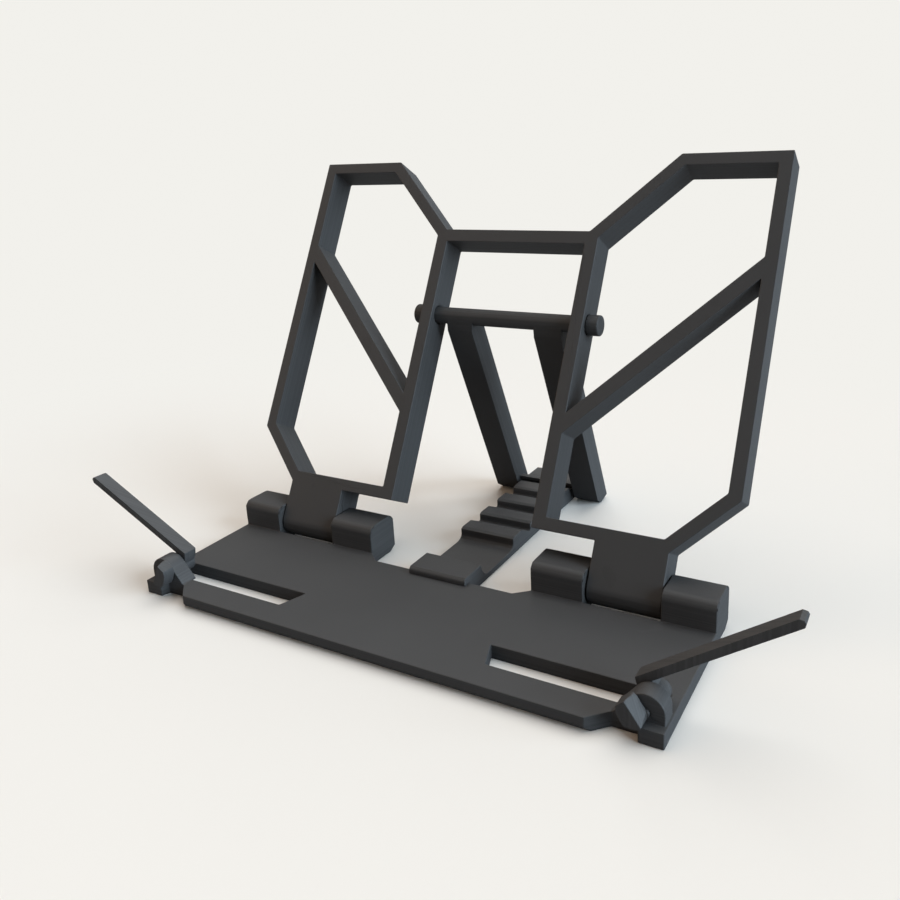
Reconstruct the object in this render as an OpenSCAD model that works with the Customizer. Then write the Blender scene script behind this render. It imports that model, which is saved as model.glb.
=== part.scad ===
// Folding desk bookstand: a base plate with hinge barrels, a tilting back frame,
// a swinging prop whose foot drops into a ratchet rack, and two page holders.
// X is right, Y is back, Z is up. The base plate's underside is centred on the origin.

/* [Back frame] */
// Width of the frame
frame_w = 200; // [170:1:240]
// Height of the frame above its bottom edge, along its slope
frame_h = 140.9; // [130:0.1:170]
// Depth of the frame from front face to back face
frame_t = 12.2; // [11:0.1:14]
// Tilt of the frame above the table, in degrees
frame_tilt = 61.2; // [60.5:0.1:62]
// Width of the outer side bars
side_bar = 4.6; // [3:0.1:7]
// Width of the two upright bars beside the channel
channel_bar = 5.2; // [4:0.1:7]
// Height of the top and bottom bars
rail_bar = 4.5; // [3:0.1:7]
// Half the clear width of the central channel
channel_half = 29.8; // [29:0.1:33]
// Half the width between the inner top corners of the frame
top_inner = 61.2; // [55:0.1:70]
// Height of the crossbar's top edge above the bottom edge
crossbar_top = 110.8; // [105:0.1:120]
// Width of the diagonal braces
brace_w = 5.3; // [4:0.1:8]
// Height at which a brace meets the side bar, at the brace's upper edge
brace_top = 102.5; // [95:0.1:108]
// Length of the 45 degree cut at each lower outer corner, across and up
corner_cut = 20.7; // [12:0.1:26]

/* [Base plate] */
// Inset of each end of the base from the frame's side
base_inset = 1.8; // [0.5:0.1:3]
// Depth of the plate from its front edge to the barrel fronts
plate_d = 54.6; // [50:0.1:70]
// Thickness of the plate
plate_t = 5; // [4.6:0.1:7]
// Inset of the recess's sides from the frame's channel
recess_inset = 1; // [0.5:0.1:1.5]
// Depth of that recess in front of the barrel fronts
recess_d = 4.4; // [3:0.1:8]
// Rounding run of the front lower edge
front_undercut = 1.6; // [0.5:0.1:2.5]

/* [Hinge] */
// Height of the hinge axis above the table
hinge_z = 7.8; // [7.4:0.1:9]
// Distance from the hinge axis to the frame's bottom edge
hinge_drop = 15; // [14:0.1:18]
// Depth of the barrels
barrel_d = 15.1; // [14.6:0.1:18]
// Height of the barrels above the table
barrel_h = 15.2; // [14.6:0.1:17]
// Width of each inner barrel
inner_barrel_w = 19.4; // [16:0.1:22]
// Distance from the frame's channel to each inner barrel
inner_barrel_gap = 4.1; // [3.5:0.1:6]
// Width of each outer barrel
outer_barrel_w = 18; // [15:0.1:18]
// Radius of the hidden hinge pins
pin_r = 2.5; // [1.5:0.1:3]
// Solid wall left at the blind end of each barrel bore
pin_wall = 3; // [2:0.1:5]

/* [Ratchet rack] */
// Width of the rack
rack_w = 23.6; // [18:0.1:25]
// Distance between neighbouring teeth
tooth_pitch = 15.1; // [14.5:0.1:16]
// Number of teeth before the back stop
tooth_count = 4; // [4:1:4]
// Distance from the barrel fronts to the first tooth's upright face
first_tooth = 29.7; // [29.2:0.1:30.2]
// Height of the tooth tops above the table
tooth_h = 7; // [6.5:0.1:7.2]
// Height of the notch floors above the table
notch_z = 3.8; // [3.2:0.1:4.2]
// Length of the front block in front of the barrel fronts
block_front = 7.4; // [6:0.1:10]
// Length of the front block behind the barrel fronts
block_back = 4.7; // [4:0.1:6]
// Height of the front block above the table
block_h = 7.7; // [7:0.1:9]
// Height of the floor of the storage hollow above the table
hollow_z = 2.2; // [1.6:0.1:2.6]

/* [Prop] */
// Distance from the hinge axis to the prop axle along the frame
axle_along = 91.5; // [90:0.1:93]
// Tilt of the prop below the table's plane, in degrees
prop_tilt = 66; // [65.5:0.1:66.5]
// Radius of the axle bar
axle_r = 3.3; // [2.5:0.1:3.6]
// Half the width over both legs
legs_half = 24.8; // [23:0.1:26.5]
// Width of each leg
leg_w = 11.3; // [9:0.1:12]
// Depth of the legs
leg_d = 9.6; // [8:0.1:10]
// Radius of the caps on the axle's ends
cap_r = 3.9; // [3.8:0.1:4.8]
// Length of the caps
cap_len = 4.4; // [3:0.1:6]

/* [Page holders] */
// Distance from the base's end to each holder's axis
holder_inset = 6.2; // [5.8:0.1:6.6]
// Radius of the fixed ear
ear_r = 5.5; // [5:0.1:6]
// Depth of the fixed ear
ear_d = 6.2; // [4:0.1:7]
// Length of each arm from its axis
arm_len = 49.5; // [40:0.1:51]
// Depth of each arm, front to back
arm_d = 5.2; // [4:0.1:6]
// Thickness of each arm
arm_t = 2.6; // [2:0.1:2.7]
// Distance from the holder's axis to the arm's outer side
arm_top = 7.2; // [6.9:0.1:7.3]
// Angle of the left arm above level, in degrees
left_arm_angle = 27.4; // [20:0.1:45]
// Angle of the right arm above level, in degrees
right_arm_angle = 34.6; // [20:0.1:45]
// Radius of the holder pins behind their heads
holder_pin_r = 1.2; // [1:0.1:1.6]

/* [Hidden] */
charcoal = [0.22, 0.22, 0.22];
charcoal_side = [0.26, 0.28, 0.30];
steel = [0.6, 0.6, 0.62];
arc_steps = 8;
bore_steps = 64;

// Clearances
run_gap = 0.05;
side_gap = 0.5;
holder_gap = 0.4;
over = 0.5;

// Main lines across
base_w = frame_w - 2 * base_inset;
recess_half = channel_half - recess_inset;
inner_barrel_x = channel_half + inner_barrel_gap;
holder_x = base_w / 2 - holder_inset;

// Main lines, front to back
barrel_y = plate_d / 2;
front_y = -plate_d / 2;
hinge_y = barrel_y + barrel_d / 2;
recess_y = barrel_y - recess_d;
outer_barrel_x = base_w / 2 - outer_barrel_w;
inner_barrel_end = inner_barrel_x + inner_barrel_w;

// Base plate corners and slots
corner_round = 3.2;
barrel_undercut = 3.5;
slot_back = 7.5;
slot_front = 17.1;
slot_spare = 1.9;
slot_skew = 3.4;
slot_inner_front = holder_x - arm_len - slot_spare;
slot_inner_back = slot_inner_front - slot_skew;
slot_past = 2.8;
slot_end = holder_x + slot_past;
notch_reach = 15.4;
notch_start = holder_x - notch_reach;
notch_run = 5.7;
notch_x = notch_start + notch_run;
notch_y = 21.6;
foot_reach = 2;
foot_x = holder_x - foot_reach;
foot_step = 3.1;
foot_run = 0.9;
ear_reach = 9.4;
ear_base_x = holder_x - ear_reach;

// Page holder, along its own arm and across it
lug_r = 3.6;
arm_root = 2.6;
ear_front = -notch_y;
ear_back = ear_front + ear_d;

// Head of a holder pin, seen from the front with its arm level
head_d = 4.6;
head_left = 5.3;
head_right = 1;
head_right_front = -0.6;
head_top = 6.8;
head_low = 1.9;
head_small = 0.4;
head_waist = 1.6;
head_shoulder = 2;
head_seat = 0.1;

// Frame, the braces and cuts run at this angle
turn = 45;
cross_bar = 4.95;

// Prop, along and across its centre line
leg_inner = legs_half - leg_w;
leg_taper = 4;
foot_half = 2;
foot_front_top = 86.4;
foot_front_low = 88.4;
foot_back_top = 89.1;
foot_tip = 91.3;
foot_tip_across = 0.5;
foot_tip_half = 0.6;
foot_gap = 0.3;
leg_front_rise = 2.6;
leg_back_rise = 1.7;
cap_gap = 0.4;
cap_wall = 1.2;
hole_gap = 0.1;
hole_chamfer = 0.7;
channel_out = channel_half + channel_bar;
axle_half = channel_out + cap_gap + cap_len;
axle_y = hinge_y + axle_along * cos(frame_tilt);
axle_z = hinge_z + axle_along * sin(frame_tilt);

// Rack, tooth form
slope_start_share = 0.5;
slope_end_share = 0.92;
lip_drop = 0.6;
lip_run = 1.4;
stop_len = 13.6;
hollow_ramp = 3;
hollow_lip = 1.1;
block_chamfer = 1;

// Points of an arc in the plane, from one angle to another
function arc(cx, cy, r, a0, a1, n) = [for (i = [0 : n]) let (a = a0 + (a1 - a0) * i / n)
    [cx + r * cos(a), cy + r * sin(a)]];

// Extrude a side outline, drawn as back and up, along X from x0 to x1
module along_x(x0, x1) {
    translate([x0, 0, 0]) rotate([90, 0, 90]) linear_extrude(x1 - x0) children();
}

// Extrude a front outline, drawn as right and up, along Y from y0 to y1
module along_y(y0, y1) {
    translate([0, y1, 0]) rotate([90, 0, 0]) linear_extrude(y1 - y0) children();
}

// Round bar along X
module rod_x(r, x0, x1) {
    translate([x0, 0, 0]) rotate([0, 90, 0]) cylinder(r = r, h = x1 - x0, $fn = bore_steps);
}

// Round bar along Y
module rod_y(r, y0, y1) {
    translate([0, y1, 0]) rotate([90, 0, 0]) cylinder(r = r, h = y1 - y0, $fn = bore_steps);
}

module both_sides() {
    children();
    mirror([1, 0, 0]) children();
}

// One side of a barrel, seen from the side: upright front, rounded top, undercut back
module barrel_profile() {
    polygon(concat(
        [[barrel_y, 0]],
        arc(barrel_y + corner_round, barrel_h - corner_round, corner_round, 180, 90, arc_steps),
        arc(barrel_y + barrel_d - corner_round, barrel_h - corner_round, corner_round, 90, 0, arc_steps),
        [[barrel_y + barrel_d, barrel_undercut / 2], [barrel_y + barrel_d - barrel_undercut, 0]]));
}

module barrels() {
    difference() {
        union() {
            along_x(inner_barrel_x, inner_barrel_end) barrel_profile();
            along_x(outer_barrel_x, base_w / 2) barrel_profile();
        }
        translate([0, hinge_y, hinge_z])
            rod_x(pin_r, inner_barrel_x + pin_wall, base_w / 2 - pin_wall);
    }
}

// Right half of the plate, seen from above
module plate_half() {
    polygon([[0, front_y], [notch_start, front_y], [notch_x, -notch_y], [foot_x, -notch_y],
        [foot_x + foot_run, -notch_y - foot_step], [base_w / 2, -notch_y - foot_step],
        [base_w / 2, barrel_y], [inner_barrel_x, barrel_y], [recess_half, recess_y], [0, recess_y]]);
}

// Slot that holds a folded arm, seen from above
module slot_outline() {
    polygon([[slot_inner_back, -slot_back], [slot_end, -slot_back], [slot_end, -slot_front],
        [slot_inner_front, -slot_front]]);
}

// Fixed ear of a page holder, seen from the front: a disc with a sloping inner flank
module ear_profile() {
    rise = hinge_z - plate_t;
    run = holder_x - ear_base_x;
    reach = sqrt(run * run + rise * rise);
    lean = atan2(rise, run) + asin(ear_r / reach);
    touch = sqrt(reach * reach - ear_r * ear_r);
    translate([holder_x, hinge_z]) circle(ear_r, $fn = bore_steps);
    polygon([[ear_base_x, plate_t - over], [ear_base_x, plate_t],
        [ear_base_x + touch * cos(lean), plate_t + touch * sin(lean)],
        [holder_x, hinge_z], [holder_x + ear_r, hinge_z], [holder_x + ear_r, plate_t - over]]);
}

module front_undercut_cut() {
    along_x(-base_w, base_w)
        polygon([[front_y - over, -over], [front_y + front_undercut, -over],
            [front_y + front_undercut, 0], [front_y, front_undercut], [front_y - over, front_undercut]]);
}

// Base plate with four hinge barrels and the two fixed ears
module base_plate() {
    color(charcoal) both_sides() {
        difference() {
            linear_extrude(plate_t) plate_half();
            translate([0, 0, -over]) linear_extrude(plate_t + 2 * over) slot_outline();
            front_undercut_cut();
        }
        difference() {
            along_y(ear_front, ear_back) ear_profile();
            translate([holder_x, 0, hinge_z])
                rod_y(holder_pin_r, ear_front - over, ear_back + over);
        }
        barrels();
    }
}

// Upright face, rounded lip, flat top and back slope of one tooth
function tooth(y) = [[y, notch_z], [y, tooth_h - lip_drop], [y + lip_run, tooth_h],
    [y + tooth_pitch * slope_start_share, tooth_h], [y + tooth_pitch * slope_end_share, notch_z]];

// Ratchet rack: front block, storage hollow, teeth and back stop
module ratchet_rack() {
    y1 = barrel_y + first_tooth;
    stop_y = y1 + tooth_count * tooth_pitch;
    block_y = barrel_y + block_back;
    hollow_r = block_h - hollow_z;
    color(charcoal) along_x(-rack_w / 2, rack_w / 2) polygon(concat(
        [[recess_y, 0], [recess_y, plate_t], [barrel_y - block_front, plate_t],
         [barrel_y - block_front, block_h - block_chamfer],
         [barrel_y - block_front + block_chamfer, block_h]],
        arc(block_y + hollow_r, block_h, hollow_r, 180, 270, arc_steps),
        [[y1 - hollow_ramp, hollow_z], [y1 - hollow_lip, notch_z - hollow_lip]],
        [for (k = [0 : tooth_count - 1]) each tooth(y1 + k * tooth_pitch)],
        [[stop_y, notch_z], [stop_y, tooth_h - lip_drop / 2], [stop_y + lip_run, tooth_h],
         [stop_y + stop_len - tooth_h / 2, tooth_h], [stop_y + stop_len, tooth_h / 2],
         [stop_y + stop_len, 0]]));
}

// Outline of the right half of the frame, seen from its front, hinge axis at zero
module frame_half() {
    low = hinge_drop;
    high = hinge_drop + frame_h;
    wide = frame_w / 2;
    brace_high = low + brace_top + side_bar;
    brace_low = brace_high - (wide - channel_half);
    brace_rise = brace_w / cos(turn);
    cross_low = low + crossbar_top - cross_bar;
    cross_run = top_inner - (frame_h - crossbar_top);
    slope_in = rail_bar * tan(turn / 2);
    difference() {
        polygon([[0, cross_low], [channel_half, cross_low], [channel_half, low],
            [wide - corner_cut, low], [wide, low + corner_cut], [wide, high],
            [top_inner, high], [cross_run, low + crossbar_top], [0, low + crossbar_top]]);
        polygon([[channel_out, low + rail_bar], [wide - corner_cut - slope_in, low + rail_bar],
            [wide - side_bar, low + corner_cut + slope_in], [wide - side_bar, high - rail_bar],
            [top_inner + slope_in, high - rail_bar],
            [channel_out, high - rail_bar - (top_inner + slope_in - channel_out)]]);
    }
    intersection() {
        polygon([[channel_half, low], [wide - corner_cut, low], [wide, low + corner_cut], [wide, high],
            [channel_half, high]]);
        polygon([[wide, brace_high], [wide, brace_high - brace_rise],
            [channel_half, brace_low - brace_rise], [channel_half, brace_low]]);
    }
}

// Turn a shape built upright about the hinge axis into the tilted frame
module on_frame() {
    translate([0, hinge_y, hinge_z]) rotate([frame_tilt, 0, 0]) children();
}

// Hole for the axle through one channel bar, with both its mouths chamfered
module axle_hole() {
    hole_r = axle_r + hole_gap;
    rod_x(hole_r, channel_half - over, channel_out + over);
    for (mouth = [[channel_half, 0], [channel_out, 1]]) translate([mouth[0], 0, 0])
        mirror([mouth[1], 0, 0]) rotate([0, 90, 0])
            cylinder(r1 = hole_r + hole_chamfer, r2 = hole_r, h = hole_chamfer, $fn = bore_steps);
}

// Back frame with its two hinge tabs and the axle holes
module back_frame() {
    tab_in = inner_barrel_end + side_gap;
    tab_out = outer_barrel_x - side_gap;
    color(charcoal) on_frame() both_sides() difference() {
        union() {
            translate([0, 0, -frame_t / 2]) linear_extrude(frame_t) frame_half();
            rod_x(frame_t / 2, tab_in, tab_out);
            translate([tab_in, 0, -frame_t / 2])
                cube([tab_out - tab_in, hinge_drop + rail_bar, frame_t]);
        }
        rod_x(pin_r + run_gap, tab_in - over, tab_out + over);
        translate([0, axle_along, 0]) axle_hole();
    }
}

module hinge_pin() {
    color(steel) translate([0, hinge_y, hinge_z])
        rod_x(pin_r, inner_barrel_x + pin_wall, base_w / 2 - pin_wall);
}

module hinge_pin_left() { mirror([1, 0, 0]) hinge_pin(); }
module hinge_pin_right() { hinge_pin(); }

// Turn a shape built hanging down from the axle into the prop's place
module on_prop() {
    translate([0, axle_y, axle_z]) rotate([90 - prop_tilt, 0, 0]) children();
}

// Point of a leg's outline at a distance across it and a height above the table
function leg_end(across, height) =
    [across, -(axle_z - height + across * cos(prop_tilt)) / sin(prop_tilt)];

// Side outline of a leg below the axle: it widens from the axle bar to its full depth, and its
// square foot has the front corner cut off
module leg_profile() {
    front = -leg_d / 2;
    back = leg_d / 2;
    polygon([[front, -leg_taper], [-axle_r, 0], [axle_r, 0], [back, -leg_taper],
        leg_end(back, leg_back_rise), leg_end(front / 2, foot_gap), leg_end(front, leg_front_rise)]);
}

// Foot bar between the legs, tapering to the edge that drops into a notch
module foot_profile() {
    polygon([[-foot_half, -foot_front_top], [foot_half, -foot_back_top],
        [foot_tip_across + foot_tip_half, -foot_tip], [foot_tip_across - foot_tip_half, -foot_tip],
        [-foot_half, -foot_front_low]]);
}

// Prop: axle bar, two legs and the foot bar in one piece
module prop_leg() {
    color(charcoal_side) on_prop() {
        rod_x(axle_r, -axle_half + cap_wall, axle_half - cap_wall);
        both_sides() along_x(leg_inner, legs_half) leg_profile();
        along_x(-leg_inner - over, leg_inner + over) foot_profile();
    }
}

// Cap pushed over the end of the axle bar
module axle_cap() {
    start = channel_out + cap_gap;
    color(charcoal_side) on_prop() difference() {
        rod_x(cap_r, start, axle_half);
        rod_x(axle_r, start - over, axle_half - cap_wall);
    }
}

module axle_cap_left() { mirror([1, 0, 0]) axle_cap(); }
module axle_cap_right() { axle_cap(); }

// Turn a shape built about the holder's axis, arm pointing right and level, to its rise
module on_holder(rise) {
    translate([holder_x, 0, hinge_z]) rotate([0, -rise, 0]) children();
}

// Arm and rear lug of a page holder
module page_holder(rise) {
    arm_low = arm_top - arm_t;
    tip_cut = arm_t / 3;
    y0 = ear_back + holder_gap;
    y1 = y0 + arm_d;
    color(charcoal_side) on_holder(rise) difference() {
        union() {
            rod_y(lug_r, y0, y1);
            along_y(y0, y1) polygon([[-arm_root, 0], [arm_root, 0], [arm_root, arm_low],
                [arm_len - tip_cut, arm_low], [arm_len, arm_low + tip_cut], [arm_len, arm_top - tip_cut],
                [arm_len - tip_cut, arm_top], [tip_cut - arm_root, arm_top], [-arm_root, arm_low]]);
        }
        rod_y(holder_pin_r + run_gap, y0 - over, y1 - arm_t / 2);
    }
}

module page_holder_left() { mirror([1, 0, 0]) page_holder(left_arm_angle); }
module page_holder_right() { page_holder(right_arm_angle); }

// Outline of a pin's head, seen from the front
module head_profile() {
    polygon([[-head_left, head_waist], [head_small - head_left, head_top - head_shoulder],
        [head_waist - head_left, head_top - head_small], [-head_small, head_top],
        [head_right - head_small, head_top - head_small], [head_right, head_top - head_shoulder],
        [head_right, head_small], [-head_small, head_small - head_low], [-head_waist, -head_low],
        [head_small - head_left, -head_small]]);
}

// Holder pin: a faceted head in front of the ear, and a pin through the ear into the arm's lug.
// The head's side towards the arm slants, and its underside is flat above the corner of the plate.
module holder_pin(rise) {
    y1 = ear_front - holder_gap;
    y0 = y1 - head_d;
    pin_end = ear_back + arm_d - arm_t / 2;
    color(charcoal_side) {
        intersection() {
            on_holder(rise) along_y(y0, y1) head_profile();
            on_holder(rise) translate([0, 0, -head_top]) linear_extrude(2 * head_top)
                polygon([[-head_left - over, y0 - over], [head_right_front, y0 - over],
                    [head_right_front, y0], [head_right, y1], [head_right, y1 + over],
                    [-head_left - over, y1 + over]]);
            translate([holder_x - head_top, y0 - over, plate_t + head_seat])
                cube([2 * head_top, head_d + 2 * over, plate_t + 2 * head_top]);
        }
        translate([holder_x, 0, hinge_z]) rod_y(holder_pin_r, y1 - over, pin_end);
    }
}

module holder_pin_left() { mirror([1, 0, 0]) holder_pin(left_arm_angle); }
module holder_pin_right() { holder_pin(right_arm_angle); }

base_plate();
ratchet_rack();
back_frame();
hinge_pin_left();
hinge_pin_right();
prop_leg();
axle_cap_left();
axle_cap_right();
page_holder_left();
page_holder_right();
holder_pin_left();
holder_pin_right();
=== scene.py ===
# %% [markdown]
# A folding bookstand of printed plastic. Its shapes come packed from the part's own source, and this
# lesson dresses them: it eases the sharp edges as a printer does, gives the plastic its layers, and
# lights the stand as the photograph does.

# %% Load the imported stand
from math import cos, pi, radians, sin

import bmesh
import bpy
from mathutils import Matrix, Vector


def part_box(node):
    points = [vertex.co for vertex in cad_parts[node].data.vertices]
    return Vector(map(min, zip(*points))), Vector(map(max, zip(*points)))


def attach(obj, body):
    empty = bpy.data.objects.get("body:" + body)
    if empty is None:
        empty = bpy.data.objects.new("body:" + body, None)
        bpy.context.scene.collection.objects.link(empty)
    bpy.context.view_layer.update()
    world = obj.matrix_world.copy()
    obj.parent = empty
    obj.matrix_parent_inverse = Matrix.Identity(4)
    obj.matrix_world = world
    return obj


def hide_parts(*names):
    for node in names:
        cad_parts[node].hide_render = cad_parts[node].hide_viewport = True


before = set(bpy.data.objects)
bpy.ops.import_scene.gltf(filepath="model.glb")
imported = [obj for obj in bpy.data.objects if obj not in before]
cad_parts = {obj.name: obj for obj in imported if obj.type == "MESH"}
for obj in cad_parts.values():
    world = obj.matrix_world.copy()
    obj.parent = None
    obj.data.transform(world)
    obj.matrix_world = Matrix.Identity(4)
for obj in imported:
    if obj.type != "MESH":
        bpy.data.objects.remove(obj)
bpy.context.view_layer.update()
MM = 0.001
print("pieces of the stand:", sorted(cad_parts))


# %% [markdown]
# The camera stands in front, to the right and a little above. Its yaw, pitch and small roll were solved
# from the corners of the stand in the photograph, so they are written as angles and turned into the
# three directions that a camera's matrix needs. The small shift puts the lens's axis where the photo
# has it, which keeps the upright lines right.

# %% Camera
CAMERA_AT = Vector((0.1542, -0.2070, 0.1550))
CAMERA_YAW = radians(29.49)
CAMERA_PITCH = radians(16.475)
CAMERA_ROLL = radians(-2.54)
PHOTO_SIZE = 900
FOCAL_PIXELS = 852
AXIS_PIXEL_X = 491.2
AXIS_PIXEL_Y = 391.8
SENSOR_MM = 36


def make_camera():
    ahead = Vector((-sin(CAMERA_YAW) * cos(CAMERA_PITCH), cos(CAMERA_YAW) * cos(CAMERA_PITCH),
                    -sin(CAMERA_PITCH)))
    level = Vector((cos(CAMERA_YAW), sin(CAMERA_YAW), 0))
    upward = level.cross(ahead)
    right = cos(CAMERA_ROLL) * level + sin(CAMERA_ROLL) * upward
    up = cos(CAMERA_ROLL) * upward - sin(CAMERA_ROLL) * level
    data = bpy.data.cameras.new("photo_camera")
    data.sensor_width = SENSOR_MM
    data.lens = SENSOR_MM * FOCAL_PIXELS / PHOTO_SIZE
    data.shift_x = 0.5 - AXIS_PIXEL_X / PHOTO_SIZE
    data.shift_y = AXIS_PIXEL_Y / PHOTO_SIZE - 0.5
    data.clip_start = 0.01
    camera = bpy.data.objects.new("photo_camera", data)
    bpy.context.scene.collection.objects.link(camera)
    turn = Matrix((right, up, -ahead)).transposed().to_4x4()
    camera.matrix_world = Matrix.Translation(CAMERA_AT) @ turn
    bpy.context.scene.camera = camera
    return camera


camera = make_camera()
print("lens", round(camera.data.lens, 2), "mm")


# %% [markdown]
# The ground is a pale sheet that runs into a pale backdrop with no edge between them. Close to the
# stand it takes the light and the shadow as paper does. Further out it fades into the backdrop's own
# colour, which the world shows behind it. The camera sees it pale, but the stand gets only the weak light
# that BOUNCE sends back, because the photograph's undersides are dark.

# %% Ground and backdrop
BACKDROP = (0.887, 0.877, 0.838, 1)
GROUND_HALF = 6.0
FADE_NEAR = 0.16
FADE_FAR = 0.42
BOUNCE = 0.27
LIT_GROUND = (0.82, 0.79, 0.745, 1)
ROOM_COLOUR = (1.0, 0.96, 0.92, 1)
ROOM_LEVEL = 0.12


def link_nodes(tree, *pairs):
    for a, b in pairs:
        tree.links.new(a, b)


def add_node(tree, kind, **settings):
    node = tree.nodes.new(kind)
    for key, value in settings.items():
        setattr(node, key, value)
    return node


def make_ground():
    mesh = bpy.data.meshes.new("ground")
    h = GROUND_HALF
    mesh.from_pydata([(-h, -h, 0), (h, -h, 0), (h, h, 0), (-h, h, 0)], [], [(0, 1, 2, 3)])
    ground = bpy.data.objects.new("ground", mesh)
    bpy.context.scene.collection.objects.link(ground)
    material = bpy.data.materials.new("pale_ground")
    material.use_nodes = True
    tree = material.node_tree
    paper = tree.nodes["Principled BSDF"]
    paper.inputs["Roughness"].default_value = 0.9
    paper.inputs["Specular IOR Level"].default_value = 0.1
    glow = add_node(tree, "ShaderNodeEmission")
    glow.inputs["Color"].default_value = BACKDROP
    coords = add_node(tree, "ShaderNodeTexCoord")
    length = add_node(tree, "ShaderNodeVectorMath", operation="LENGTH")
    fade = add_node(tree, "ShaderNodeMapRange", interpolation_type="SMOOTHSTEP")
    fade.inputs["From Min"].default_value = FADE_NEAR
    fade.inputs["From Max"].default_value = FADE_FAR
    path = add_node(tree, "ShaderNodeLightPath")
    tint = add_node(tree, "ShaderNodeMix", data_type="RGBA")
    tint.inputs[6].default_value = (BOUNCE, BOUNCE, BOUNCE, 1)
    tint.inputs[7].default_value = LIT_GROUND
    seen = add_node(tree, "ShaderNodeMath", operation="MULTIPLY")
    mix = add_node(tree, "ShaderNodeMixShader")
    link_nodes(
        tree,
        (coords.outputs["Object"], length.inputs[0]),
        (length.outputs["Value"], fade.inputs["Value"]),
        (fade.outputs["Result"], seen.inputs[0]),
        (path.outputs["Is Camera Ray"], seen.inputs[1]),
        (path.outputs["Is Camera Ray"], tint.inputs[0]),
        (tint.outputs[2], paper.inputs["Base Color"]),
        (seen.outputs[0], mix.inputs[0]),
        (paper.outputs[0], mix.inputs[1]),
        (glow.outputs[0], mix.inputs[2]),
        (mix.outputs[0], tree.nodes["Material Output"].inputs["Surface"]),
    )
    mesh.materials.append(material)


def make_world():
    world = bpy.data.worlds.new("soft_room")
    bpy.context.scene.world = world
    world.use_nodes = True
    tree = world.node_tree
    room = tree.nodes["Background"]
    room.inputs["Color"].default_value = ROOM_COLOUR
    room.inputs["Strength"].default_value = ROOM_LEVEL
    behind = add_node(tree, "ShaderNodeBackground")
    behind.inputs["Color"].default_value = BACKDROP
    path = add_node(tree, "ShaderNodeLightPath")
    mix = add_node(tree, "ShaderNodeMixShader")
    link_nodes(
        tree,
        (path.outputs["Is Camera Ray"], mix.inputs[0]),
        (room.outputs[0], mix.inputs[1]),
        (behind.outputs[0], mix.inputs[2]),
        (mix.outputs[0], tree.nodes["World Output"].inputs["Surface"]),
    )


make_ground()
make_world()


# %% [markdown]
# The photograph has window light, cool and low from the right, which makes the faces towards +X the
# lightest and a little blue. A broad sky stands above and behind, and a weak warm room light comes from
# the left. Faces turned to the reader get little more than what the ground sends back. Suns with a wide
# angle light the whole ground evenly, with soft shadows.

# %% Lights
SUNS = (  # name, direction towards the light, share, colour, spread in degrees
    ("sky", (-0.05, 0.47, 1.0), 0.68, (1.0, 0.99, 0.97), 70),
    ("window", (1.0, 0.0, 0.25), 1.36, (0.78, 0.96, 1.12), 50),
    ("room", (-1.0, -0.35, 0.55), 0.16, (1.35, 0.90, 0.55), 60),
)


def make_sun(name, towards, share, colour, spread):
    """A sun that adds share times a surface's own colour where it shines straight on."""
    data = bpy.data.lights.new(name, "SUN")
    data.energy = share * pi
    data.color = colour
    data.angle = radians(spread)
    sun = bpy.data.objects.new(name, data)
    sun.matrix_world = Vector(towards).to_track_quat("Z", "Y").to_matrix().to_4x4()
    bpy.context.scene.collection.objects.link(sun)


for sun_values in SUNS:
    make_sun(*sun_values)
bpy.context.scene.view_settings.view_transform = "Standard"


# %% [markdown]
# Printed plastic is built in thin layers. From the side they show as fine level lines, some a shade
# lighter than others. On a face that was on top, the nozzle's passes show as fine slanted lines. Both
# depend on how each part lay on the printer, so the pattern is turned to that part before it is read.
# Each effect is a group with its own sizes, so that every material can share it.

# %% Shader groups
WAVER_SCALE = 60
WAVER = 0.35
UPWARD = 0.95


def new_group(name, inputs, outputs):
    group = bpy.data.node_groups.new(name, "ShaderNodeTree")
    for label, kind, value in inputs:
        socket = group.interface.new_socket(name=label, in_out="INPUT", socket_type=kind)
        if value is not None:
            socket.default_value = value
    for label, kind in outputs:
        group.interface.new_socket(name=label, in_out="OUTPUT", socket_type=kind)
    return group, group.nodes.new("NodeGroupInput"), group.nodes.new("NodeGroupOutput")


def math_node(tree, operation, a, b=None, c=None):
    """A math node whose inputs are sockets or plain numbers; returns its output."""
    node = add_node(tree, "ShaderNodeMath", operation=operation)
    for slot, value in zip(node.inputs, (a, b, c)):
        if isinstance(value, bpy.types.NodeSocket):
            tree.links.new(value, slot)
        elif value is not None:
            slot.default_value = value
    return node.outputs[0]


def make_layer_group():
    group, given, result = new_group(
        "printed_layers",
        [("Place", "NodeSocketVector", None), ("Layer", "NodeSocketFloat", 0.0002)],
        [("Ridge", "NodeSocketFloat"), ("Shade", "NodeSocketFloat")],
    )
    split = add_node(group, "ShaderNodeSeparateXYZ")
    waver = add_node(group, "ShaderNodeTexNoise", noise_dimensions="3D")
    waver.inputs["Scale"].default_value = WAVER_SCALE
    waver.inputs["Detail"].default_value = 1
    link_nodes(
        group,
        (given.outputs["Place"], split.inputs[0]),
        (given.outputs["Place"], waver.inputs["Vector"]),
    )
    steps = math_node(group, "DIVIDE", split.outputs["Z"], given.outputs["Layer"])
    steps = math_node(group, "MULTIPLY_ADD", waver.outputs["Fac"], WAVER, steps)
    ridge = math_node(group, "PINGPONG", steps, 0.5)
    chance = add_node(group, "ShaderNodeTexWhiteNoise", noise_dimensions="1D")
    link_nodes(group, (math_node(group, "FLOOR", steps), chance.inputs["W"]))
    link_nodes(
        group,
        (math_node(group, "MULTIPLY", ridge, 2.0), result.inputs["Ridge"]),
        (chance.outputs["Value"], result.inputs["Shade"]),
    )
    return group


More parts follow.
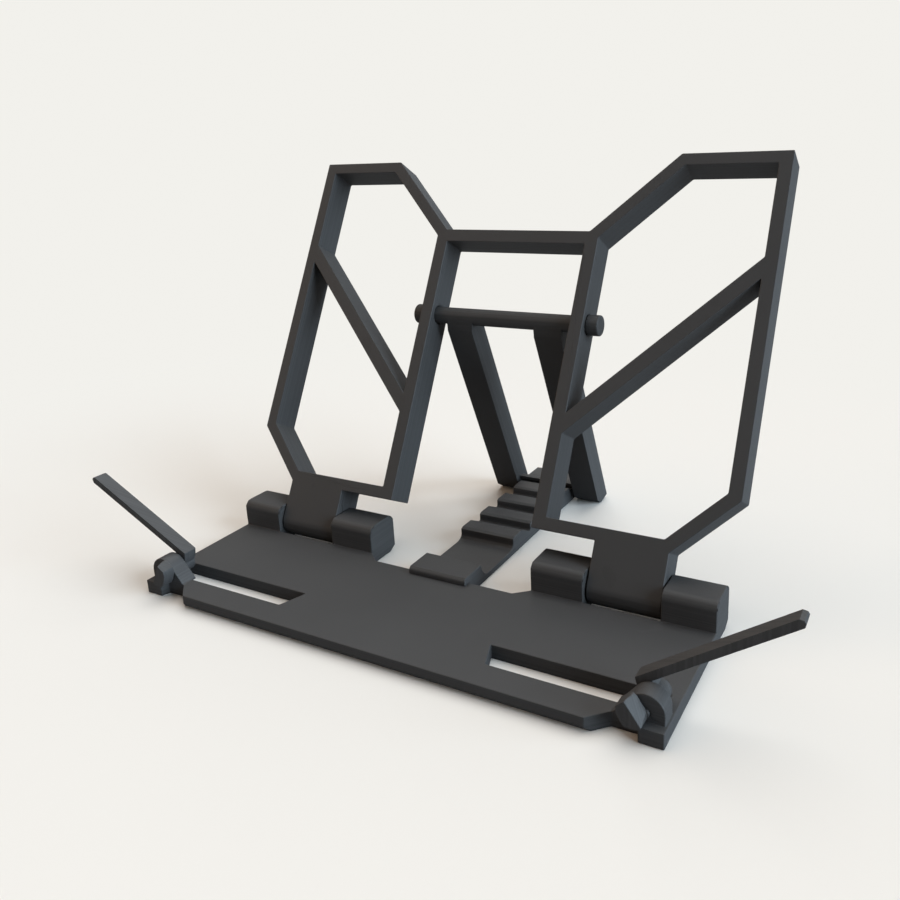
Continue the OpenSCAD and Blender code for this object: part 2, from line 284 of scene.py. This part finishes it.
def make_pass_group():
    group, given, result = new_group(
        "nozzle_passes",
        [("Place", "NodeSocketVector", None), ("Facing", "NodeSocketVector", None),
         ("Pass Width", "NodeSocketFloat", 0.00045)],
        [("Line", "NodeSocketFloat"), ("On Top", "NodeSocketFloat")],
    )
    split = add_node(group, "ShaderNodeSeparateXYZ")
    face = add_node(group, "ShaderNodeSeparateXYZ")
    link_nodes(group, (given.outputs["Place"], split.inputs[0]), (given.outputs["Facing"], face.inputs[0]))
    slanted = math_node(group, "ADD", split.outputs["X"], split.outputs["Y"])
    steps = math_node(group, "DIVIDE", slanted, given.outputs["Pass Width"])
    line = math_node(group, "PINGPONG", steps, 0.5)
    level = math_node(group, "ABSOLUTE", face.outputs["Z"])
    on_top = math_node(group, "GREATER_THAN", level, UPWARD)
    link_nodes(group, (line, result.inputs["Line"]), (on_top, result.inputs["On Top"]))
    return group


def make_grain_group():
    group, given, result = new_group(
        "matte_grain",
        [("Place", "NodeSocketVector", None), ("Grain Scale", "NodeSocketFloat", 2600.0),
         ("Cloud Scale", "NodeSocketFloat", 28.0)],
        [("Grain", "NodeSocketFloat"), ("Cloud", "NodeSocketFloat")],
    )
    fine = add_node(group, "ShaderNodeTexNoise", noise_dimensions="3D")
    broad = add_node(group, "ShaderNodeTexNoise", noise_dimensions="3D")
    fine.inputs["Detail"].default_value = 2
    broad.inputs["Detail"].default_value = 4
    link_nodes(
        group,
        (given.outputs["Place"], fine.inputs["Vector"]),
        (given.outputs["Place"], broad.inputs["Vector"]),
        (given.outputs["Grain Scale"], fine.inputs["Scale"]),
        (given.outputs["Cloud Scale"], broad.inputs["Scale"]),
        (fine.outputs["Fac"], result.inputs["Grain"]),
        (broad.outputs["Fac"], result.inputs["Cloud"]),
    )
    return group


layer_group = make_layer_group()
pass_group = make_pass_group()
grain_group = make_grain_group()


# %% [markdown]
# One plastic, several materials: the colour is the same charcoal, but each part lay on the printer in
# its own way. The frame and the prop were printed lying flat, so their layers run along their tilted
# faces. The function turns the pattern by the part's tilt, then mixes layers, passes and grain into the
# colour, the roughness and a shallow bump.

# %% Charcoal plastic
CHARCOAL = Vector((0.055, 0.055, 0.056))
LAYER = 0.00042
LAYER_SHADE = 0.26
CLOUD_SHADE = 0.22
SMOOTHEST = 0.50
ROUGHER = 0.16
GRAIN_HEIGHT = 0.5
BUMP_STRENGTH = 0.35
BUMP_HEIGHT = 0.00005
GLOSS = 0.38
FRAME_TILT = 61.2
PROP_TILT = -66.0
LEFT_ARM_ANGLE = 27.4
RIGHT_ARM_ANGLE = 34.6


def printed_plastic(name, turn=(0, 0, 0)):
    material = bpy.data.materials.new(name)
    material.use_nodes = True
    tree = material.node_tree
    plastic = tree.nodes["Principled BSDF"]
    coords = add_node(tree, "ShaderNodeTexCoord")
    place = add_node(tree, "ShaderNodeMapping", vector_type="POINT")
    facing = add_node(tree, "ShaderNodeMapping", vector_type="VECTOR")
    for mapping in (place, facing):
        mapping.inputs["Rotation"].default_value = [radians(-angle) for angle in turn]
    layers = add_node(tree, "ShaderNodeGroup", node_tree=layer_group)
    layers.inputs["Layer"].default_value = LAYER
    passes = add_node(tree, "ShaderNodeGroup", node_tree=pass_group)
    grain = add_node(tree, "ShaderNodeGroup", node_tree=grain_group)
    link_nodes(
        tree,
        (coords.outputs["Object"], place.inputs["Vector"]),
        (coords.outputs["Normal"], facing.inputs["Vector"]),
        (place.outputs[0], layers.inputs["Place"]),
        (place.outputs[0], passes.inputs["Place"]),
        (facing.outputs[0], passes.inputs["Facing"]),
        (place.outputs[0], grain.inputs["Place"]),
    )
    top = passes.outputs["On Top"]
    shade = math_node(tree, "MULTIPLY_ADD", layers.outputs["Shade"], LAYER_SHADE, 1 - LAYER_SHADE)
    shade = math_node(tree, "MULTIPLY_ADD", grain.outputs["Cloud"], CLOUD_SHADE, shade)
    colour = add_node(tree, "ShaderNodeMix", data_type="RGBA", blend_type="MULTIPLY")
    colour.inputs[0].default_value = 1
    colour.inputs[6].default_value = (*CHARCOAL, 1)
    link_nodes(tree, (shade, colour.inputs[7]), (colour.outputs[2], plastic.inputs["Base Color"]))
    rough = math_node(tree, "MULTIPLY_ADD", grain.outputs["Grain"], ROUGHER, SMOOTHEST)
    tree.links.new(rough, plastic.inputs["Roughness"])
    on_side = math_node(tree, "SUBTRACT", 1.0, top)
    side_height = math_node(tree, "MULTIPLY", layers.outputs["Ridge"], on_side)
    top_height = math_node(tree, "MULTIPLY", passes.outputs["Line"], top)
    height = math_node(tree, "ADD", side_height, top_height)
    height = math_node(tree, "MULTIPLY_ADD", grain.outputs["Grain"], GRAIN_HEIGHT, height)
    bump = add_node(tree, "ShaderNodeBump")
    bump.inputs["Strength"].default_value = BUMP_STRENGTH
    bump.inputs["Distance"].default_value = BUMP_HEIGHT
    link_nodes(tree, (height, bump.inputs["Height"]), (bump.outputs[0], plastic.inputs["Normal"]))
    plastic.inputs["Specular IOR Level"].default_value = GLOSS
    return material


base_plastic = printed_plastic("charcoal_base")
rack_plastic = printed_plastic("charcoal_rack")
frame_plastic = printed_plastic("charcoal_frame", turn=(FRAME_TILT, 0, 0))
prop_plastic = printed_plastic("charcoal_prop", turn=(PROP_TILT, 0, 0))
left_plastic = printed_plastic("charcoal_holder_left", turn=(90, LEFT_ARM_ANGLE, 0))
right_plastic = printed_plastic("charcoal_holder_right", turn=(90, -RIGHT_ARM_ANGLE, 0))


STEEL = (0.55, 0.55, 0.56, 1)
STEEL_GRAIN = 900
STEEL_SMOOTHEST = 0.25
STEEL_ROUGHER = 0.2


def make_steel():
    material = bpy.data.materials.new("pin_steel")
    material.use_nodes = True
    tree = material.node_tree
    steel = tree.nodes["Principled BSDF"]
    steel.inputs["Base Color"].default_value = STEEL
    steel.inputs["Metallic"].default_value = 1
    coords = add_node(tree, "ShaderNodeTexCoord")
    grain = add_node(tree, "ShaderNodeGroup", node_tree=grain_group)
    grain.inputs["Grain Scale"].default_value = STEEL_GRAIN
    rough = math_node(tree, "MULTIPLY_ADD", grain.outputs["Grain"], STEEL_ROUGHER, STEEL_SMOOTHEST)
    link_nodes(tree, (coords.outputs["Object"], grain.inputs["Place"]), (rough, steel.inputs["Roughness"]))
    return material


pin_steel = make_steel()
print("materials:", sorted(m.name for m in bpy.data.materials))


# %% [markdown]
# A nozzle can't lay a perfectly sharp edge, and a thin bright line along each edge is what tells the eye
# that plastic is real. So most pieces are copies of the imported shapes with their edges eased: the copy's
# loose triangles are joined at their points, and a Bevel modifier rounds every edge that bends by more
# than BEND. Weighted normals keep the big faces flat in the light. The hinge pins are out of sight, so
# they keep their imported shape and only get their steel.

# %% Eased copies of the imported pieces
EASE = 0.35 * MM
EASE_STEPS = 3
MERGE = 0.002 * MM
BEND = radians(32)


def new_piece(name, mesh):
    piece = bpy.data.objects.new(name, mesh)
    bpy.context.scene.collection.objects.link(piece)
    return piece


def applied(piece):
    """Turn a piece with modifiers into a plain mesh."""
    bpy.context.view_layer.update()
    shaped = piece.evaluated_get(bpy.context.evaluated_depsgraph_get())
    plain = bpy.data.meshes.new_from_object(shaped)
    old = piece.data
    piece.modifiers.clear()
    piece.data = plain
    bpy.data.meshes.remove(old)
    return piece


def ease_edges(piece, width, bend=BEND):
    bevel = piece.modifiers.new("ease", "BEVEL")
    bevel.width = width
    bevel.segments = EASE_STEPS
    bevel.limit_method = "ANGLE"
    bevel.angle_limit = bend
    bevel.miter_outer = "MITER_ARC"
    bevel.use_clamp_overlap = False
    even = piece.modifiers.new("even", "WEIGHTED_NORMAL")
    even.keep_sharp = True
    for face in piece.data.polygons:
        face.use_smooth = True
    return applied(piece)


def eased_copy(node, name, material, body, width=EASE):
    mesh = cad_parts[node].data.copy()
    mesh.materials.clear()
    mesh.materials.append(material)
    work = bmesh.new()
    work.from_mesh(mesh)
    bmesh.ops.remove_doubles(work, verts=work.verts, dist=MERGE)
    work.to_mesh(mesh)
    work.free()
    piece = new_piece(name, mesh)
    ease_edges(piece, width)
    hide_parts(node)
    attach(piece, body)
    print(name, len(piece.data.polygons), "faces")
    return piece


SMALL_EASE = 0.22 * MM
eased_copy("base_plate", "base_plate_print", base_plastic, "base")
eased_copy("back_frame", "back_frame_print", frame_plastic, "frame")
eased_copy("prop_leg", "prop_print", prop_plastic, "prop")
eased_copy("page_holder_left", "arm_left", left_plastic, "holder_left", SMALL_EASE)
eased_copy("page_holder_right", "arm_right", right_plastic, "holder_right", SMALL_EASE)
eased_copy("holder_pin_left", "pin_head_left", left_plastic, "base", SMALL_EASE)
eased_copy("holder_pin_right", "pin_head_right", right_plastic, "base", SMALL_EASE)
for pin in ("hinge_pin_left", "hinge_pin_right"):
    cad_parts[pin].data.materials.clear()
    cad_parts[pin].data.materials.append(pin_steel)


# %% [markdown]
# The caps are turned forms: a cup with a softened rim, pushed over the end of the axle bar. Spin carries
# the half section of the cup once round the bar's axis, as a lathe would. The rim is what catches the
# window's light, so its rounding is drawn in the section.

# %% Axle caps
CAP_ROUND = 0.5 * MM
CAP_WALL = 1.2 * MM
AXLE_RADIUS = 3.3 * MM
CAP_STEPS = 64
RIM_STEPS = 6


def cap_section(start, end, radius, side):
    """Points of the half section, from the cup's mouth over its rim to the middle and back inside."""
    turns = [k * pi / 2 / RIM_STEPS for k in range(RIM_STEPS + 1)]
    rim = [(end - side * CAP_ROUND * (1 - sin(a)), radius - CAP_ROUND * (1 - cos(a))) for a in turns]
    bottom = end - side * CAP_WALL
    return [(start, AXLE_RADIUS), (start, radius), *rim, (end, 0), (bottom, 0), (bottom, AXLE_RADIUS)]


def make_cap(node, name, side):
    low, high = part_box(node)
    start, end = (low[0], high[0]) if side > 0 else (high[0], low[0])
    centre = Vector((0, (low[1] + high[1]) / 2, (low[2] + high[2]) / 2))
    radius = (high[2] - low[2]) / 2
    work = bmesh.new()
    points = [work.verts.new(centre + Vector((x, 0, r))) for x, r in cap_section(start, end, radius, side)]
    edges = [work.edges.new(pair) for pair in zip(points, points[1:] + points[:1])]
    bmesh.ops.spin(work, geom=points + edges, cent=centre, axis=(1, 0, 0), angle=2 * pi, steps=CAP_STEPS,
                   use_duplicate=False)
    bmesh.ops.remove_doubles(work, verts=work.verts, dist=MERGE)
    bmesh.ops.dissolve_degenerate(work, edges=work.edges, dist=MERGE)
    bmesh.ops.recalc_face_normals(work, faces=work.faces)
    mesh = bpy.data.meshes.new(name)
    work.to_mesh(mesh)
    work.free()
    mesh.materials.append(prop_plastic)
    for face in mesh.polygons:
        face.use_smooth = True
    mesh.set_sharp_from_angle(angle=BEND)
    cap = new_piece(name, mesh)
    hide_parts(node)
    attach(cap, "prop")
    print(name, len(mesh.polygons), "faces")


make_cap("axle_cap_left", "cap_left", -1)
make_cap("axle_cap_right", "cap_right", 1)


# %% [markdown]
# The rack's saw teeth repeat at one pitch, which suits Geometry Nodes. One tooth is drawn as a line along
# its side outline. The tree sets that line out once for each tooth of the real rack, beside the outline of
# the strip that carries them, and draws both out across the rack's width. The strip, with its front block,
# its storage hollow and its back stop, doesn't repeat, so it is drawn as it is. Last, the points where two
# lines meet are merged and the two sides are filled, which leaves one closed skin with no seams.

# %% Side outlines
RACK_LOW, RACK_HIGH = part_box("ratchet_rack")
TOOTH_PITCH = 15.1 * MM
TOOTH_COUNT = 4
FIRST_TOOTH = 57.0 * MM
TOOTH_TOP = 7.0 * MM
NOTCH_FLOOR = 3.8 * MM
LIP_RUN = 1.4 * MM
TOOTH_BEND = radians(15)


def outline_wire(name, outline, half):
    """An object of edges only, along the (back, up) points of a side outline, at the rack's left side."""
    mesh = bpy.data.meshes.new(name)
    links = [(i, i + 1) for i in range(len(outline) - 1)]
    mesh.from_pydata([(-half, y, z) for y, z in outline], links, [])
    return new_piece(name, mesh)


def tooth_outline():
    lip_drop = 0.6 * MM
    slope_start, slope_end = 0.5 * TOOTH_PITCH, 0.92 * TOOTH_PITCH
    return [(0, NOTCH_FLOOR), (0, TOOTH_TOP - lip_drop), (LIP_RUN, TOOTH_TOP), (slope_start, TOOTH_TOP),
            (slope_end, NOTCH_FLOOR), (TOOTH_PITCH, NOTCH_FLOOR)]


def strip_outline():
    plate_top, block_top, chamfer = 5.0 * MM, 7.7 * MM, 1.0 * MM
    block_front, recess = RACK_LOW[1], 22.9 * MM
    hollow_floor, hollow_start, steps = 2.2 * MM, 32.0 * MM, 20
    bend = block_top - hollow_floor
    turns = [k * pi / 2 / steps for k in range(steps + 1)]
    hollow = [(hollow_start + bend - bend * cos(a), block_top - bend * sin(a)) for a in turns]
    ramp, lip, stop_drop = 3.0 * MM, 1.1 * MM, 0.3 * MM
    stop, end = FIRST_TOOTH + TOOTH_COUNT * TOOTH_PITCH, RACK_HIGH[1]
    return [(stop, NOTCH_FLOOR), (stop, TOOTH_TOP - stop_drop), (stop + LIP_RUN, TOOTH_TOP),
            (end - TOOTH_TOP / 2, TOOTH_TOP), (end, TOOTH_TOP / 2), (end, 0),
            (recess, 0), (recess, plate_top), (block_front, plate_top), (block_front, block_top - chamfer),
            (block_front + chamfer, block_top), *hollow, (FIRST_TOOTH - ramp, hollow_floor),
            (FIRST_TOOTH - lip, NOTCH_FLOOR - lip), (FIRST_TOOTH, NOTCH_FLOOR)]


# %% Tooth row tree
def make_tooth_row_tree():
    tree = bpy.data.node_groups.new("tooth_row", "GeometryNodeTree")
    sockets = {}
    for label, kind in (("Strip", "NodeSocketGeometry"), ("Tooth", "NodeSocketObject"),
                        ("Teeth", "NodeSocketInt"), ("Pitch", "NodeSocketFloat"),
                        ("First Tooth", "NodeSocketFloat"), ("Width", "NodeSocketFloat"),
                        ("Plastic", "NodeSocketMaterial")):
        sockets[label] = tree.interface.new_socket(name=label, in_out="INPUT", socket_type=kind).identifier
    tree.interface.new_socket(name="Rack", in_out="OUTPUT", socket_type="NodeSocketGeometry")
    given = add_node(tree, "NodeGroupInput")
    result = add_node(tree, "NodeGroupOutput")
    start = add_node(tree, "ShaderNodeCombineXYZ")
    step = add_node(tree, "ShaderNodeCombineXYZ")
    line = add_node(tree, "GeometryNodeMeshLine", mode="OFFSET")
    tooth = add_node(tree, "GeometryNodeObjectInfo")
    row = add_node(tree, "GeometryNodeInstanceOnPoints")
    both = add_node(tree, "GeometryNodeJoinGeometry")
    across = add_node(tree, "ShaderNodeCombineXYZ")
    widen = add_node(tree, "GeometryNodeExtrudeMesh", mode="EDGES")
    realize = add_node(tree, "GeometryNodeRealizeInstances")
    paint = add_node(tree, "GeometryNodeSetMaterial")
    link_nodes(
        tree,
        (given.outputs["First Tooth"], start.inputs["Y"]),
        (given.outputs["Pitch"], step.inputs["Y"]),
        (given.outputs["Teeth"], line.inputs["Count"]),
        (start.outputs[0], line.inputs["Start Location"]),
        (step.outputs[0], line.inputs["Offset"]),
        (given.outputs["Tooth"], tooth.inputs["Object"]),
        (line.outputs["Mesh"], row.inputs["Points"]),
        (tooth.outputs["Geometry"], row.inputs["Instance"]),
        (row.outputs["Instances"], both.inputs["Geometry"]),
        (given.outputs["Strip"], both.inputs["Geometry"]),
        (both.outputs["Geometry"], widen.inputs["Mesh"]),
        (given.outputs["Width"], across.inputs["X"]),
        (across.outputs[0], widen.inputs["Offset"]),
        (widen.outputs["Mesh"], realize.inputs["Geometry"]),
        (realize.outputs["Geometry"], paint.inputs["Geometry"]),
        (given.outputs["Plastic"], paint.inputs["Material"]),
        (paint.outputs["Geometry"], result.inputs["Rack"]),
    )
    return tree, sockets


# %% Ratchet rack
def make_rack():
    tooth = outline_wire("tooth", tooth_outline(), RACK_HIGH[0])
    rack = outline_wire("rack_print", strip_outline(), RACK_HIGH[0])
    tree, sockets = make_tooth_row_tree()
    row = rack.modifiers.new("tooth_row", "NODES")
    row.node_group = tree
    values = {"Tooth": tooth, "Teeth": TOOTH_COUNT, "Pitch": TOOTH_PITCH, "First Tooth": FIRST_TOOTH,
              "Width": 2 * RACK_HIGH[0], "Plastic": rack_plastic}
    for label, value in values.items():
        row[sockets[label]] = value
    applied(rack)
    bpy.data.objects.remove(tooth)
    work = bmesh.new()
    work.from_mesh(rack.data)
    bmesh.ops.remove_doubles(work, verts=work.verts, dist=MERGE)
    open_sides = [edge for edge in work.edges if edge.is_boundary]
    bmesh.ops.holes_fill(work, edges=open_sides, sides=0)
    bmesh.ops.recalc_face_normals(work, faces=work.faces)
    work.to_mesh(rack.data)
    work.free()
    print("rack before easing:", len(rack.data.polygons), "faces")
    ease_edges(rack, EASE, TOOTH_BEND)
    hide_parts("ratchet_rack")
    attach(rack, "base")
    return rack


make_rack()
